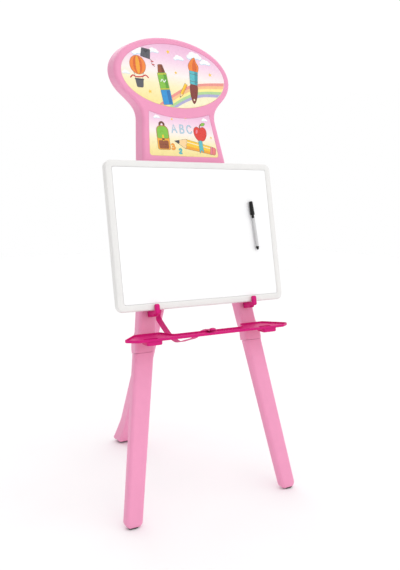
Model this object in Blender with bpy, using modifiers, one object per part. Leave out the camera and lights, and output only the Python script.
"""Children's three-legged easel, in metres with +Z up and the writing board facing -Y.

The header, the upper legs, the lower legs, the hooks and the board lean back together, so they hang on
the empty "front_frame". There local X runs to the right, local Y up the easel and local Z out of its
front. The rear leg hangs on the empty "rear_hinge", which sits on the hinge axis. The tray is level.
"""

from math import atan2, cos, hypot, pi, radians, sin, tan

import bmesh
import bpy
from mathutils import Matrix, Vector

# Overall stance
LEAN = radians(10.7)
REAR_LEAN = radians(26.1)
Y_SHIFT = -0.3217
GAP = 0.0003

# Header: an oval on a flared neck, both part of one shell
OVAL_HALF_WIDTH = 0.183
OVAL_HALF_HEIGHT = 0.1128
OVAL_UP = 1.2040
NECK_TOP_UP = 1.070
NECK_TOP_HALF = 0.1163
NECK_FLARE = 0.128
HEADER_BOTTOM_UP = 0.790
HEADER_LEAN = radians(4.0)
WALL_RISE = 0.30
BEND_LOW = 0.942
BEND_HIGH = 0.968
HEADER_FRONT = 0.0065
HEADER_DEPTH = 0.048
HEADER_EDGE = 0.010
WALL = 0.003
PICTURE_RIM = 0.0187
PICTURE_THICK = 0.0007
PICTURE_SPACING = 0.0290

# Board
BOARD_WIDTH = 0.516
BOARD_HEIGHT = 0.3935
BOARD_BOTTOM_UP = 0.5533
BOARD_BACK = 0.0206
BOARD_THICK = 0.0206
FRAME_BAND = 0.018

# Legs
UPPER_LEG_DEPTH = 0.035
KNEE_UP = 0.445
LOWER_LEG_FOOT_WIDTH = 0.0485
LOWER_LEG_KNEE_WIDTH = 0.0560
LOWER_LEG_DEPTH = 0.027
LOWER_LEG_FRONT = -0.003
LOWER_LEG_SLOPE = -0.169
LOWER_LEG_FOOT_X = 0.2485
PAD_HEIGHT = 0.006
HINGE_UP = 0.828
HINGE_FRONT = -0.0714
REAR_LEG_WIDTH = 0.042
REAR_LEG_DEPTH = 0.040
PIN_RADIUS = 0.004

# Hooks
HOOK_X = 0.152
HOOK_WIDTH = 0.013
SHELF_UP = BOARD_BOTTOM_UP - 0.0007

# Tray
TRAY_TOP = 0.486
TRAY_BOTTOM = 0.479
TRAY_WALL = 0.0025
CUP_BOTTOM = 0.4685
CUP_X = 0.179
CUP_Y = 0.0325
CUP_WIDTH = 0.044
CUP_DEPTH = 0.036

# Marker
MARKER_X = 0.1795
MARKER_UP = 0.7672
MARKER_TILT = radians(3.5)
MARKER_RADIUS = 0.0046
MARKER_CAP_LENGTH = 0.039
MARKER_NECK_LENGTH = 0.0095
MARKER_LENGTH = 0.139

COLOURS = {
    "pink": ((0.90, 0.35, 0.56, 1), 0.35),
    "magenta": ((0.68, 0.02, 0.21, 1), 0.35),
    "picture": ((0.95, 0.75, 0.80, 1), 0.3),
    "frame_white": ((0.85, 0.84, 0.83, 1), 0.4),
    "board_white": ((0.95, 0.95, 0.95, 1), 0.15),
    "rubber": ((0.10, 0.07, 0.08, 1), 0.8),
    "steel": ((0.6, 0.6, 0.62, 1), 0.3),
    "black": ((0.02, 0.02, 0.02, 1), 0.4),
    "grey": ((0.62, 0.62, 0.60, 1), 0.4),
}


def clear_scene():
    for obj in list(bpy.data.objects):
        bpy.data.objects.remove(obj, do_unlink=True)


def material(name):
    found = bpy.data.materials.get(name)
    if found:
        return found
    made = bpy.data.materials.new(name)
    made.use_nodes = True
    shader = made.node_tree.nodes["Principled BSDF"]
    colour, roughness = COLOURS[name]
    shader.inputs["Base Color"].default_value = colour
    shader.inputs["Roughness"].default_value = roughness
    shader.inputs["Metallic"].default_value = 1.0 if name == "steel" else 0.0
    return made


def collection(name):
    made = bpy.data.collections.new(name)
    bpy.context.scene.collection.children.link(made)
    return made


def empty(name, location, rotation, parent=None):
    obj = bpy.data.objects.new(name, None)
    obj.location = location
    obj.rotation_euler = rotation
    obj.parent = parent
    PARTS.objects.link(obj)
    return obj


def mirrored(points):
    return [(-x, y) for x, y in reversed(points)]


def rounded(corners, steps=4):
    """The outline through (x, y, radius) corners, each turned on an arc of its radius."""
    outline = []
    count = len(corners)
    for i, (x, y, radius) in enumerate(corners):
        here = Vector((x, y))
        if radius == 0:
            outline.append((x, y))
            continue
        before = (Vector(corners[i - 1][:2]) - here).normalized()
        after = (Vector(corners[(i + 1) % count][:2]) - here).normalized()
        half_angle = before.angle(after) / 2
        reach = radius / tan(half_angle)
        centre = here + (before + after).normalized() * radius / sin(half_angle)
        start = here + before * reach - centre
        end = here + after * reach - centre
        turn = atan2(start.x * end.y - start.y * end.x, start.dot(end))
        for step in range(steps + 1):
            angle = turn * step / steps
            outline.append((
                centre.x + start.x * cos(angle) - start.y * sin(angle),
                centre.y + start.x * sin(angle) + start.y * cos(angle),
            ))
    return outline


def solid(name, outline, low, high, colour, parent=None, turn=None, helper=False):
    """A flat outline in local XY, extruded from local Z = low to high, then turned by a matrix."""
    curve = bpy.data.curves.new(name, "CURVE")
    curve.dimensions = "2D"
    curve.fill_mode = "BOTH"
    curve.extrude = (high - low) / 2
    spline = curve.splines.new("POLY")
    spline.points.add(len(outline) - 1)
    for point, (x, y) in zip(spline.points, outline):
        point.co = (x, y, 0, 1)
    spline.use_cyclic_u = True
    guide = bpy.data.objects.new(name + "_guide", curve)
    bpy.context.scene.collection.objects.link(guide)
    bpy.context.view_layer.update()
    graph = bpy.context.evaluated_depsgraph_get()
    mesh = bpy.data.meshes.new_from_object(guide.evaluated_get(graph))
    bpy.data.objects.remove(guide)
    mesh.name = name
    shape = bmesh.new()
    shape.from_mesh(mesh)
    bmesh.ops.remove_doubles(shape, verts=shape.verts, dist=1e-6)
    bmesh.ops.translate(shape, vec=(0, 0, (low + high) / 2), verts=shape.verts)
    if turn is not None:
        bmesh.ops.transform(shape, matrix=turn, verts=shape.verts)
    bmesh.ops.recalc_face_normals(shape, faces=shape.faces)
    shape.to_mesh(mesh)
    shape.free()
    return finish(name, mesh, colour, parent, helper)


def round_solid(name, radius, low, high, colour, parent=None, turn=None, sides=16, helper=False, place=(0, 0)):
    """A cylinder along local Z from low to high, then turned by a matrix."""
    mesh = bpy.data.meshes.new(name)
    shape = bmesh.new()
    middle = Matrix.Translation((place[0], place[1], (low + high) / 2))
    bmesh.ops.create_cone(
        shape, cap_ends=True, segments=sides, radius1=radius, radius2=radius, depth=high - low, matrix=middle
    )
    if turn is not None:
        bmesh.ops.transform(shape, matrix=turn, verts=shape.verts)
    shape.to_mesh(mesh)
    shape.free()
    return finish(name, mesh, colour, parent, helper)


def turned_solid(name, profile, colour, parent, turn=None, sides=20):
    """A profile of (radius, height) pairs from top to bottom, turned about local Z."""
    mesh = bpy.data.meshes.new(name)
    shape = bmesh.new()
    rings = []
    for radius, height in profile:
        ring = []
        for side in range(sides):
            angle = 2 * pi * side / sides
            ring.append(shape.verts.new((radius * cos(angle), radius * sin(angle), height)))
        rings.append(ring)
    for upper, lower in zip(rings, rings[1:]):
        for side in range(sides):
            after = (side + 1) % sides
            shape.faces.new((upper[side], lower[side], lower[after], upper[after]))
    shape.faces.new(rings[0])
    shape.faces.new(list(reversed(rings[-1])))
    bmesh.ops.recalc_face_normals(shape, faces=shape.faces)
    if turn is not None:
        bmesh.ops.transform(shape, matrix=turn, verts=shape.verts)
    shape.to_mesh(mesh)
    shape.free()
    return finish(name, mesh, colour, parent)


def finish(name, mesh, colour, parent, helper=False):
    obj = bpy.data.objects.new(name, mesh)
    obj.parent = parent
    if helper:
        CUTTERS.objects.link(obj)
        obj.hide_render = True
        obj.display_type = "WIRE"
    else:
        PARTS.objects.link(obj)
        obj.data.materials.clear()
        obj.data.materials.append(material(colour))
    return obj


def bevel(obj, width, segments=3, angle=40):
    modifier = obj.modifiers.new("Bevel", "BEVEL")
    modifier.width = width
    modifier.segments = segments
    modifier.limit_method = "ANGLE"
    modifier.angle_limit = radians(angle)
    modifier.use_clamp_overlap = True


def boolean(obj, other, operation="DIFFERENCE"):
    modifier = obj.modifiers.new("Boolean", "BOOLEAN")
    modifier.operation = operation
    modifier.object = other
    modifier.solver = "EXACT"


def bezier(p0, p1, p2, p3, count):
    points = []
    for step in range(count + 1):
        t = step / count
        weights = ((1 - t) ** 3, 3 * t * (1 - t) ** 2, 3 * t * t * (1 - t), t ** 3)
        points.append(tuple(sum(w * p[k] for w, p in zip(weights, (p0, p1, p2, p3))) for k in (0, 1)))
    return points


def smooth_route(points, per_span):
    """A Catmull-Rom curve through the points."""
    padded = [points[0]] + list(points) + [points[-1]]
    route = []
    for a, b, c, d in zip(padded, padded[1:], padded[2:], padded[3:]):
        for step in range(per_span):
            t = step / per_span
            route.append(tuple(
                0.5 * (2 * b[k] + (c[k] - a[k]) * t + (2 * a[k] - 5 * b[k] + 4 * c[k] - d[k]) * t * t
                       + (3 * b[k] - a[k] - 3 * c[k] + d[k]) * t ** 3)
                for k in (0, 1)
            ))
    route.append(points[-1])
    return route


def neck_half(up, inset=0.0):
    return NECK_TOP_HALF + NECK_FLARE * (NECK_TOP_UP - up) - inset


def header_outline(inset, bottom, arc_steps=22):
    """Right half of the oval from its top, a fillet into the neck, the flared neck, and the mirror image."""
    a = OVAL_HALF_WIDTH - inset
    b = OVAL_HALF_HEIGHT - inset
    last = radians(122)
    half = []
    for step in range(arc_steps + 1):
        t = last * step / arc_steps
        half.append((a * sin(t), OVAL_UP + b * cos(t)))
    tangent = Vector((a * cos(last), -b * sin(last))).normalized()
    start = Vector(half[-1])
    neck = Vector((neck_half(NECK_TOP_UP, inset), NECK_TOP_UP))
    neck_way = Vector((NECK_FLARE, -1)).normalized()
    reach = (start - neck).length * 0.42
    half += bezier(start, start + tangent * reach, neck - neck_way * reach, neck, 6)[1:]
    half.append((neck_half(bottom, inset), bottom))
    return half + mirrored(half[1:])


def bent(x, up, out):
    """Where a point of the flat header lies once its top leans further back, round a bend across the neck.

    Above the bend the shell's walls run back level rather than square to its face.
    """
    radius = (BEND_HIGH - BEND_LOW) / HEADER_LEAN
    turn = min(max(up - BEND_LOW, 0), BEND_HIGH - BEND_LOW) / radius
    if turn == 0:
        return x, up, out
    beyond = max(up - BEND_HIGH, 0)
    rise = (HEADER_FRONT - out) * WALL_RISE * turn / HEADER_LEAN
    return (
        x,
        BEND_LOW + (radius + out) * sin(turn) + beyond * cos(turn) + rise,
        radius * (cos(turn) - 1) - beyond * sin(turn) + out * cos(turn),
    )


def bend_back(obj):
    """Applies the modifiers, cuts rows across the bend and leans what is above it."""
    bpy.context.view_layer.update()
    graph = bpy.context.evaluated_depsgraph_get()
    mesh = bpy.data.meshes.new_from_object(obj.evaluated_get(graph))
    obj.modifiers.clear()
    obj.data = mesh
    shape = bmesh.new()
    shape.from_mesh(mesh)
    rows = 4
    for row in range(rows + 1):
        up = BEND_LOW + (BEND_HIGH - BEND_LOW) * row / rows
        everything = shape.verts[:] + shape.edges[:] + shape.faces[:]
        bmesh.ops.bisect_plane(shape, geom=everything, plane_co=(0, up, 0), plane_no=(0, 1, 0))
    bmesh.ops.triangulate(shape, faces=shape.faces)
    for vert in shape.verts:
        vert.co = bent(*vert.co)
    shape.to_mesh(mesh)
    shape.free()


def oval_outline(half_width, half_height, steps=44):
    return [
        (half_width * sin(2 * pi * k / steps), OVAL_UP + half_height * cos(2 * pi * k / steps))
        for k in range(steps)
    ]


def lower_picture_outline(inset=0.0):
    """A flared panel whose top edge runs parallel to the oval above it."""
    bottom = 0.9697 + inset
    a = OVAL_HALF_WIDTH - PICTURE_RIM + PICTURE_SPACING + inset
    b = OVAL_HALF_HEIGHT - PICTURE_RIM + PICTURE_SPACING + inset
    top_half = 0.0958 - inset
    bottom_half = 0.1099 - inset
    top = [
        (x, OVAL_UP - b * (1 - (x / a) ** 2) ** 0.5)
        for x in (top_half * k / 6 for k in range(6, -7, -1))
    ]
    corners = [(-bottom_half, bottom, 0.008), (bottom_half, bottom, 0.008)]
    corners += [(x, y, 0.0) for x, y in top]
    return rounded(corners)


def make_header(front):
    shell = solid(
        "header_shell", header_outline(0, HEADER_BOTTOM_UP), HEADER_FRONT - HEADER_DEPTH, HEADER_FRONT,
        "pink", front,
    )
    bevel(shell, HEADER_EDGE)
    cavity = solid(
        "header_cavity", header_outline(WALL, HEADER_BOTTOM_UP - 0.03), HEADER_FRONT - HEADER_DEPTH - 0.02,
        HEADER_FRONT - WALL, "pink", front, helper=True,
    )
    bevel(cavity, HEADER_EDGE - WALL, 2)
    boolean(shell, cavity)
    rim_a = OVAL_HALF_WIDTH - PICTURE_RIM
    rim_b = OVAL_HALF_HEIGHT - PICTURE_RIM
    recess_floor = HEADER_FRONT - PICTURE_THICK - 0.0008
    for name, outline, card in (
        ("oval", oval_outline(rim_a, rim_b), oval_outline(rim_a - 0.0006, rim_b - 0.0006)),
        ("lower", lower_picture_outline(), lower_picture_outline(0.0006)),
    ):
        recess = solid(name + "_recess", outline, recess_floor, HEADER_FRONT + 0.01, "pink", front, helper=True)
        boolean(shell, recess)
        picture = solid(
            name + "_picture", card, recess_floor + GAP, recess_floor + GAP + PICTURE_THICK, "picture", front
        )
        bend_back(picture)
    bend_back(shell)
    back = HEADER_FRONT - HEADER_DEPTH
    cover = solid(
        "header_back_cover", header_outline(WALL + 0.0005, HEADER_BOTTOM_UP + 0.0005), back, back + WALL,
        "pink", front,
    )
    bend_back(cover)
    for k, (x, up) in enumerate(((-0.125, 1.243), (0.125, 1.243), (-0.105, 1.03), (0.105, 1.03))):
        bend_back(make_screw("header_screw_%d" % (k + 1), x, up, back, front))


def make_screw(name, x, up, face, front, radius=0.0042):
    """A pan head lying on a rear face."""
    profile = [
        (radius, face - GAP), (radius, face - GAP - 0.0012), (radius * 0.6, face - GAP - 0.0024)
    ]
    return turned_solid(name, profile, "steel", front, Matrix.Translation((x, up, 0)), 12)


def make_upper_leg(side, sign, front):
    corners = [
        (0.1452, KNEE_UP, 0.004), (0.2013, KNEE_UP, 0.004), (0.1995, 0.470, 0.02), (0.1870, 0.500, 0.02),
        (0.1180, 0.930, 0.006), (0.0740, 0.930, 0.006), (0.0850, 0.800, 0.05), (0.1370, 0.500, 0.02),
        (0.1440, 0.470, 0.02),
    ]
    outline = rounded([(sign * x, y, r) for x, y, r in corners], 3)
    leg = solid("upper_leg_" + side, outline, -UPPER_LEG_DEPTH, 0, "pink", front)
    bevel(leg, 0.006, 2)
    socket = solid(
        "socket_" + side, lower_leg_band(sign, 0.0173, KNEE_UP - 0.02, 0.5155), LOWER_LEG_FRONT - 0.0225,
        LOWER_LEG_FRONT - 0.0025, "pink", front, helper=True,
    )
    boolean(leg, socket)


def lower_leg_x(up):
    return LOWER_LEG_FOOT_X + LOWER_LEG_SLOPE * up


def lower_leg_band(sign, half, low, high):
    return [
        (sign * (lower_leg_x(low) - half), low), (sign * (lower_leg_x(low) + half), low),
        (sign * (lower_leg_x(high) + half), high), (sign * (lower_leg_x(high) - half), high),
    ]


def make_lower_leg(side, sign, front):
    foot = LOWER_LEG_FOOT_WIDTH / 2
    knee = LOWER_LEG_KNEE_WIDTH / 2
    top = KNEE_UP - 0.0005
    corners = [
        (lower_leg_x(0) - foot, -0.001, 0.014), (lower_leg_x(0) + foot, -0.001, 0.014),
        (lower_leg_x(top) + knee, top, 0), (lower_leg_x(top) - knee, top, 0),
    ]
    outline = rounded([(sign * x, y, r) for x, y, r in corners], 4)
    back = LOWER_LEG_FRONT - LOWER_LEG_DEPTH
    leg = solid("lower_leg_" + side, outline, back, LOWER_LEG_FRONT, "pink", front)
    bevel(leg, 0.008, 3, 60)
    spigot = solid(
        "spigot_" + side, lower_leg_band(sign, 0.0168, top - 0.03, 0.515), LOWER_LEG_FRONT - 0.022,
        LOWER_LEG_FRONT - 0.003, "pink", front, helper=True,
    )
    boolean(leg, spigot, "UNION")
    floor_cut = solid(
        "floor_cut_" + side, [(-0.5, -0.5), (0.5, -0.5), (0.5, 0.5), (-0.5, 0.5)], -0.1, PAD_HEIGHT + GAP,
        "pink", helper=True,
    )
    boolean(leg, floor_cut)
    pad_middle = LOWER_LEG_DEPTH / 2 - LOWER_LEG_FRONT
    pad = solid(
        "foot_pad_" + side,
        rounded([(-0.0125, -0.0085, 0.005), (0.0125, -0.0085, 0.005), (0.0125, 0.0085, 0.005),
                 (-0.0125, 0.0085, 0.005)]),
        0, PAD_HEIGHT, "rubber",
    )
    pad.location = (sign * lower_leg_x(0.006), Y_SHIFT + pad_middle, 0)
    bevel(pad, 0.0015, 2)
    make_screw("knee_screw_" + side, sign * 0.171, 0.472, -UPPER_LEG_DEPTH, front)
    make_screw("tray_screw_%s_1" % side, sign * 0.152, 0.495, -UPPER_LEG_DEPTH, front)
    make_screw("tray_screw_%s_2" % side, sign * 0.177, 0.495, -UPPER_LEG_DEPTH, front)


def make_board(front):
    half_w = BOARD_WIDTH / 2
    low = BOARD_BOTTOM_UP
    high = low + BOARD_HEIGHT
    outer = rounded([(-half_w, low, 0.018), (half_w, low, 0.018), (half_w, high, 0.018), (-half_w, high, 0.018)])
    face = BOARD_BACK + BOARD_THICK
    frame = solid("board_frame", outer, BOARD_BACK, face, "frame_white", front)
    bevel(frame, 0.003, 2)

    def inner(inset):
        x = half_w - FRAME_BAND - inset
        y0 = low + FRAME_BAND + inset
        y1 = high - FRAME_BAND - inset
        return rounded([(-x, y0, 0.006), (x, y0, 0.006), (x, y1, 0.006), (-x, y1, 0.006)], 3)

    hole = solid("board_hole", inner(0), BOARD_BACK - 0.01, face + 0.01, "frame_white", front, helper=True)
    boolean(frame, hole)
    solid("writing_sheet", inner(GAP), face - 0.006, face - 0.0015, "board_white", front)
    solid("board_back", inner(GAP), BOARD_BACK + 0.001, BOARD_BACK + 0.0045, "frame_white", front)
    for side, sign in (("left", -1), ("right", 1)):
        bumper = round_solid(
            "board_bumper_" + side, 0.011, HEADER_FRONT + GAP, BOARD_BACK - GAP, "rubber", front,
            place=(sign * 0.105, 0.905),
        )
        bevel(bumper, 0.0015, 1)


def make_hook(side, sign, front):
    """A side profile in (out of the front, up the easel), as wide as the finger."""
    shelf = SHELF_UP
    profile = rounded([
        (GAP, shelf - 0.0165, 0.003), (0.0350, shelf - 0.0165, 0.006), (0.0405, shelf - 0.0105, 0.002),
        (0.0530, shelf - 0.0110, 0.006), (0.0530, shelf + 0.0160, 0.005), (0.0425, shelf + 0.0160, 0.005),
        (0.0425, shelf, 0.001), (GAP, shelf, 0.001),
    ], 3)
    turn = Matrix(((0, 0, 1, sign * HOOK_X), (0, 1, 0, 0), (1, 0, 0, 0), (0, 0, 0, 1)))
    hook = solid("board_hook_" + side, profile, -HOOK_WIDTH / 2, HOOK_WIDTH / 2, "magenta", front, turn)
    bevel(hook, 0.0012, 1)


def moved_in(corners, inset):
    """Moves the (x, y, radius) corners of a counter-clockwise outline inwards."""
    moved = []
    for i, (x, y, radius) in enumerate(corners):
        here = Vector((x, y))
        before = (here - Vector(corners[i - 1][:2])).normalized()
        onward = (Vector(corners[(i + 1) % len(corners)][:2]) - here).normalized()
        first = Vector((-before.y, before.x))
        second = Vector((-onward.y, onward.x))
        place = here + (first + second) * inset / (1 + first.dot(second))
        moved.append((place.x, place.y, radius))
    return moved


def tray_outline(inset=0.0):
    """The tray seen from above: a bar with a pointed wing at each end that rests against the leg."""
    right = [
        (0.150, 0.013, 0.010), (0.226, 0.015, 0.012), (0.2565, 0.036, 0.008), (0.2040, 0.0901, 0.005),
        (0.1280, 0.0901, 0.004), (0.1080, 0.050, 0.016),
    ]
    left = [(-x, y, radius) for x, y, radius in reversed(right)]
    return rounded(moved_in(right + left, inset), 3)


def cup_outline(x, inset=0.0):
    half_x = CUP_WIDTH / 2 - inset
    half_y = CUP_DEPTH / 2 - inset
    return rounded([
        (x - half_x, CUP_Y - half_y, 0.006), (x + half_x, CUP_Y - half_y, 0.006),
        (x + half_x, CUP_Y + half_y, 0.006), (x - half_x, CUP_Y + half_y, 0.006),
    ], 3)


def make_tray(root):
    tray = solid("tray", tray_outline(), TRAY_BOTTOM, TRAY_TOP, "magenta", root)
    for side, sign in (("left", -1), ("right", 1)):
        pod = solid(
            "cup_body_" + side, cup_outline(sign * CUP_X), CUP_BOTTOM, TRAY_BOTTOM + 0.002, "magenta", root,
            helper=True,
        )
        boolean(tray, pod, "UNION")
    hollow = solid(
        "tray_hollow", tray_outline(TRAY_WALL), TRAY_BOTTOM + TRAY_WALL, TRAY_TOP + 0.01, "magenta", root,
        helper=True,
    )
    boolean(tray, hollow)
    for side, sign in (("left", -1), ("right", 1)):
        cup = solid(
            "cup_hollow_" + side, cup_outline(sign * CUP_X, TRAY_WALL), CUP_BOTTOM + TRAY_WALL, TRAY_TOP + 0.01,
            "magenta", root, helper=True,
        )
        boolean(tray, cup)
    turned_solid(
        "strap_button_tray",
        [(0.0045, 0.0085), (0.0085, 0.0065), (0.0090, 0.0035), (0.0080, 0.0030)],
        "magenta", root, Matrix.Translation((0, 0.030, TRAY_TOP)), 16,
    )


def make_hinge(front):
    """The bracket's two ears stand on a plate on the back cover, and the pin runs through them."""
    back = HEADER_FRONT - HEADER_DEPTH
    plate_face = back - 0.006
    bracket = solid(
        "hinge_bracket",
        rounded([(-0.048, HINGE_UP - 0.028, 0.008), (0.048, HINGE_UP - 0.028, 0.008),
                 (0.048, HINGE_UP + 0.028, 0.008), (-0.048, HINGE_UP + 0.028, 0.008)]),
        plate_face, back - GAP, "magenta", front,
    )
    for side, sign in (("left", -1), ("right", 1)):
        ear_profile = rounded([
            (back - 0.003, HINGE_UP - 0.024, 0), (back - 0.003, HINGE_UP + 0.024, 0),
            (HINGE_FRONT - 0.013, HINGE_UP + 0.013, 0.012), (HINGE_FRONT - 0.013, HINGE_UP - 0.013, 0.012),
        ], 4)
        turn = Matrix(((0, 0, 1, sign * 0.0270), (0, 1, 0, 0), (1, 0, 0, 0), (0, 0, 0, 1)))
        ear = solid("hinge_ear_" + side, ear_profile, -0.004, 0.004, "magenta", front, turn, helper=True)
        boolean(bracket, ear, "UNION")
    along_x = Matrix.Translation((0, HINGE_UP, HINGE_FRONT)) @ Matrix.Rotation(pi / 2, 4, "Y")
    bore = round_solid("bracket_bore", PIN_RADIUS + 0.0004, -0.05, 0.05, "magenta", front, along_x, helper=True)
    boolean(bracket, bore)
    turned_solid(
        "hinge_pin",
        [(0.0065, 0.0345), (0.0075, 0.0335), (0.0075, 0.0314), (PIN_RADIUS, 0.0314), (PIN_RADIUS, -0.0314),
         (0.0075, -0.0314), (0.0075, -0.0335), (0.0065, -0.0345)],
        "steel", front, along_x, 16,
    )


def rear_point(down, out, middle_y, middle_z):
    """World (y, z) of a point on the rear leg: down from the hinge, and out of its front face."""
    y = middle_y + down * sin(REAR_LEAN) - out * cos(REAR_LEAN)
    z = middle_z - down * cos(REAR_LEAN) - out * sin(REAR_LEAN)
    return y, z


def splay(leg):
    """Widens the leg sideways a little on its way down, and more towards the foot."""
    shape = bmesh.new()
    shape.from_mesh(leg.data)
    for down in (0.15, 0.40, 0.70, 0.77, 0.80, 0.83, 0.86):
        everything = shape.verts[:] + shape.edges[:] + shape.faces[:]
        bmesh.ops.bisect_plane(shape, geom=everything, plane_co=(0, -down, 0), plane_no=(0, 1, 0))
    for vert in shape.verts:
        slow = min(max((-vert.co.y - 0.15) / 0.62, 0), 1)
        quick = min(max((-vert.co.y - 0.77) / 0.115, 0), 1)
        vert.co.x *= 1 + (0.006 * slow + 0.009 * quick * quick) / (REAR_LEG_WIDTH / 2)
    shape.to_mesh(leg.data)
    shape.free()


def make_rear_leg(hinge, hinge_z):
    half = REAR_LEG_DEPTH / 2

    def down_to(height, out):
        return (hinge_z - height - out * sin(REAR_LEAN)) / cos(REAR_LEAN)

    foot = PAD_HEIGHT + GAP
    flare = 0.010
    profile = rounded([
        (half, 0.0205, 0.019), (half, -down_to(foot, half), 0.006),
        (-half - flare, -down_to(foot, -half - flare), 0.008),
        (-half - flare * 0.8, -down_to(0.020, -half - flare), 0.02),
        (-half, -down_to(0.100, -half), 0.05), (-half, 0.0205, 0.019),
    ], 5)
    turn = Matrix(((0, 0, 1, 0), (0, 1, 0, 0), (1, 0, 0, 0), (0, 0, 0, 1)))
    leg = solid("rear_leg", profile, -REAR_LEG_WIDTH / 2, REAR_LEG_WIDTH / 2, "pink", hinge, turn)
    splay(leg)
    bevel(leg, 0.005, 2, 50)
    along_x = Matrix.Rotation(pi / 2, 4, "Y")
    bore = round_solid("leg_bore", PIN_RADIUS + 0.0004, -0.05, 0.05, "pink", hinge, along_x, helper=True)
    boolean(leg, bore)
    foot_y = rear_point(down_to(0, 0), 0, 0, 0)[0]
    pad = solid(
        "foot_pad_rear",
        rounded([(-0.026, -0.016, 0.008), (0.026, -0.016, 0.008), (0.026, 0.022, 0.008), (-0.026, 0.022, 0.008)]),
        0, PAD_HEIGHT, "rubber",
    )
    pad.location = (0, hinge.location.y + foot_y, 0)
    bevel(pad, 0.0015, 2)
    strap_down = 0.3300
    place = Matrix.Translation((0, -strap_down, half))
    turned_solid(
        "strap_button_rear",
        [(0.0045, 0.0085), (0.0085, 0.0065), (0.0090, 0.0035), (0.0080, 0.0030)],
        "magenta", hinge, place, 16,
    )


def strap_route(hinge_y, hinge_z):
    """Side view (y, z) of the strap's middle line, from the rear leg to the tray."""
    lift = REAR_LEG_DEPTH / 2 + GAP + 0.001
    tab = [
        rear_point(down, lift + rise, hinge_y, hinge_z)
        for down, rise in ((0.3200, 0), (0.3300, 0), (0.3390, 0.0002), (0.3470, 0.0030))
    ]
    over_rim = TRAY_TOP + GAP + 0.001
    front = [
        (0.3440, 0.4690), (0.3170, 0.4530), (0.2811, 0.4345), (0.2490, 0.4255), (0.2165, 0.4235),
        (0.1687, 0.4376), (0.1293, 0.4507), (0.0850, 0.4760), (0.0560, over_rim), (0.0420, over_rim),
        (0.0205, over_rim),
    ]
    return tab + [(y + Y_SHIFT, z) for y, z in front]


def make_strap(hinge_y, hinge_z):
    route = smooth_route(strap_route(hinge_y, hinge_z), 3)
    half = 0.00095
    upper = []
    lower = []
    for k, (y, z) in enumerate(route):
        before = route[max(k - 1, 0)]
        after = route[min(k + 1, len(route) - 1)]
        length = hypot(after[0] - before[0], after[1] - before[1])
        way = ((after[0] - before[0]) / length, (after[1] - before[1]) / length)
        upper.append((y - way[1] * half, z + way[0] * half))
        lower.append((y + way[1] * half, z - way[0] * half))
    turn = Matrix(((0, 0, 1, 0), (1, 0, 0, 0), (0, 1, 0, 0), (0, 0, 0, 1)))
    solid("strap", upper + list(reversed(lower)), -0.010, 0.010, "magenta", None, turn)


def make_marker(front):
    """Pen pieces turned about the pen's own axis, which lies on the board. Local Z is the pen's axis."""
    cap_radius = MARKER_RADIUS + 0.0014
    out = BOARD_BACK + BOARD_THICK - 0.0015 + GAP + cap_radius
    upright = Matrix.Translation((MARKER_X, MARKER_UP, out)) @ Matrix.Rotation(MARKER_TILT, 4, "Z")
    turn = upright @ Matrix.Rotation(-pi / 2, 4, "X")
    top = MARKER_LENGTH / 2
    cap_end = top - MARKER_CAP_LENGTH
    neck_end = cap_end - MARKER_NECK_LENGTH
    r = MARKER_RADIUS
    turned_solid(
        "marker_cap",
        [(0.0042, top), (cap_radius - 0.0008, top - 0.0014), (cap_radius, cap_end + 0.004),
         (cap_radius - 0.0006, cap_end), (0.0044, cap_end), (0.0042, top - 0.003)],
        "black", front, turn, 16,
    )
    turned_solid(
        "marker_nib",
        [(0.0012, top - 0.006), (0.0018, top - 0.012), (0.0026, top - 0.016), (0.0036, top - 0.020),
         (0.0036, neck_end + GAP)],
        "black", front, turn, 16,
    )
    turned_solid(
        "marker_barrel",
        [(0.0036, neck_end), (r - 0.0004, neck_end - 0.0010), (r, -top + 0.0095),
         (0.0032, -top + 0.0095), (0.0032, -top + 0.0180), (0.0036, -top + 0.0180), (0.0036, neck_end - 0.0075),
         (0.0033, neck_end - 0.0070)],
        "grey", front, turn, 16,
    )
    turned_solid(
        "marker_end_plug",
        [(0.0028, -top + 0.0165), (0.0028, -top + 0.0091), (r - 0.0002, -top + 0.0091),
         (r - 0.0006, -top + 0.0050), (r - 0.0016, -top + 0.0020), (0.0012, -top)],
        "black", front, turn, 16,
    )


def main():
    front = empty("front_frame", (0, Y_SHIFT, 0), (pi / 2 - LEAN, 0, 0))
    level = empty("level_frame", (0, Y_SHIFT, 0), (0, 0, 0))
    make_header(front)
    for side, sign in (("left", -1), ("right", 1)):
        make_upper_leg(side, sign, front)
        make_lower_leg(side, sign, front)
        make_hook(side, sign, front)
    make_board(front)
    make_tray(level)
    make_hinge(front)
    hinge_y = Y_SHIFT + HINGE_UP * sin(LEAN) - HINGE_FRONT * cos(LEAN)
    hinge_z = HINGE_UP * cos(LEAN) + HINGE_FRONT * sin(LEAN)
    rear = empty("rear_hinge", (0, hinge_y, hinge_z), (pi / 2 + REAR_LEAN, 0, 0))
    make_rear_leg(rear, hinge_z)
    make_strap(hinge_y, hinge_z)
    make_marker(front)


clear_scene()
PARTS = collection("kids_easel")
CUTTERS = collection("cutters")
main()
